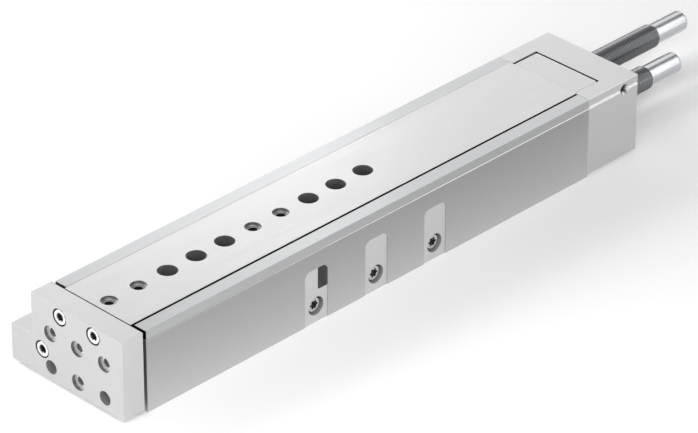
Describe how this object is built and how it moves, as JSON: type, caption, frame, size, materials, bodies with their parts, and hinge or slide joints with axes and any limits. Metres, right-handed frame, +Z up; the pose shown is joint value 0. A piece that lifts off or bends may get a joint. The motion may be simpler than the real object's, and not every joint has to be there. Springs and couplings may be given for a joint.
{
  "type": "pneumatic slide table",
  "caption": "Flat pneumatic slide table: a ball-guided slide and yoke driven along its housing by a side cylinder, with a shock absorber for each end of the stroke.",
  "frame": {"origin": "on the mounting face, in the middle of the housing's length and of the slide's width", "axes": "+X along the stroke towards the rear cover (the slide comes out towards -X), +Y towards the cylinder's ear, +Z up from the mounting face"},
  "size_m": [0.4849, 0.0836, 0.0487],
  "materials": {
    "brushed_anodised_aluminium": "brushed and clear anodised",
    "clear_anodised_aluminium": "fine milled and clear anodised",
    "ground_slide_steel": "satin ground",
    "ground_rail_steel": "satin ground",
    "screw_steel": "bright zinc plated",
    "rod_steel": "ground",
    "ball_steel": "polished",
    "chrome_rod": "polished hard chrome",
    "bright_chrome": "satin chrome",
    "blackened_steel": "black oxide on a fine thread",
    "bearing_bronze": "turned bronze",
    "cage_brass": "stamped brass",
    "black_rubber": "moulded",
    "magnet": "plastic-bonded magnet"
  },
  "bodies": {
    "housing": {"housing": "brushed_anodised_aluminium", "guide_rail_left": "ground_rail_steel", "guide_rail_right": "ground_rail_steel", "rear_cover": "clear_anodised_aluminium", "cover_screws": "screw_steel", "cylinder_end_cap": "clear_anodised_aluminium", "end_cap_o_ring": "black_rubber", "rod_guide": "bearing_bronze", "guide_o_ring": "black_rubber", "rod_seal": "black_rubber", "rod_wiper": "black_rubber", "rod_guide_ring": "rod_steel", "side_plugs": "screw_steel", "plug_seals": "black_rubber", "stop_block": "rod_steel", "stop_block_screw": "screw_steel", "retract_absorber_sleeve": "blackened_steel", "retract_absorber_barrel": "bright_chrome", "retract_lock_nut": "screw_steel"},
    "slide": {"slide_plate": "ground_slide_steel", "yoke_plate": "clear_anodised_aluminium", "yoke_screws": "screw_steel", "yoke_dowels": "rod_steel", "slide_end_block": "clear_anodised_aluminium", "end_block_screws": "screw_steel", "piston_rod": "chrome_rod", "piston": "clear_anodised_aluminium", "piston_seals": "black_rubber", "piston_magnet": "magnet", "piston_nut": "screw_steel", "piston_bumpers": "black_rubber", "stop_rod": "rod_steel", "advance_absorber_sleeve": "blackened_steel", "advance_absorber_barrel": "bright_chrome", "advance_lock_nut": "blackened_steel"},
    "cages": {"ball_cage_left": "cage_brass", "ball_cage_right": "cage_brass", "guide_balls_left": "ball_steel", "guide_balls_right": "ball_steel"},
    "retract_plunger": {"retract_plunger": "chrome_rod"},
    "advance_plunger": {"advance_plunger": "chrome_rod"}
  },
  "joints": [
    {"name": "slide_stroke", "type": "slide", "parent": "housing", "child": "slide", "axis": [-1, 0, 0], "range_m": [0, 0.2]},
    {"name": "cage_travel", "type": "slide", "parent": "housing", "child": "cages", "axis": [-1, 0, 0], "range_m": [0, 0.1]},
    {"name": "retract_plunger_press", "type": "slide", "parent": "housing", "child": "retract_plunger", "axis": [1, 0, 0], "range_m": [0, 0.008], "stiffness_N_per_m": 600},
    {"name": "advance_plunger_press", "type": "slide", "parent": "slide", "child": "advance_plunger", "axis": [1, 0, 0], "range_m": [0, 0.008], "stiffness_N_per_m": 600}
  ],
  "couplings": [
    {"joint": "cage_travel", "follows": "slide_stroke", "ratio": 0.5}
  ]
}
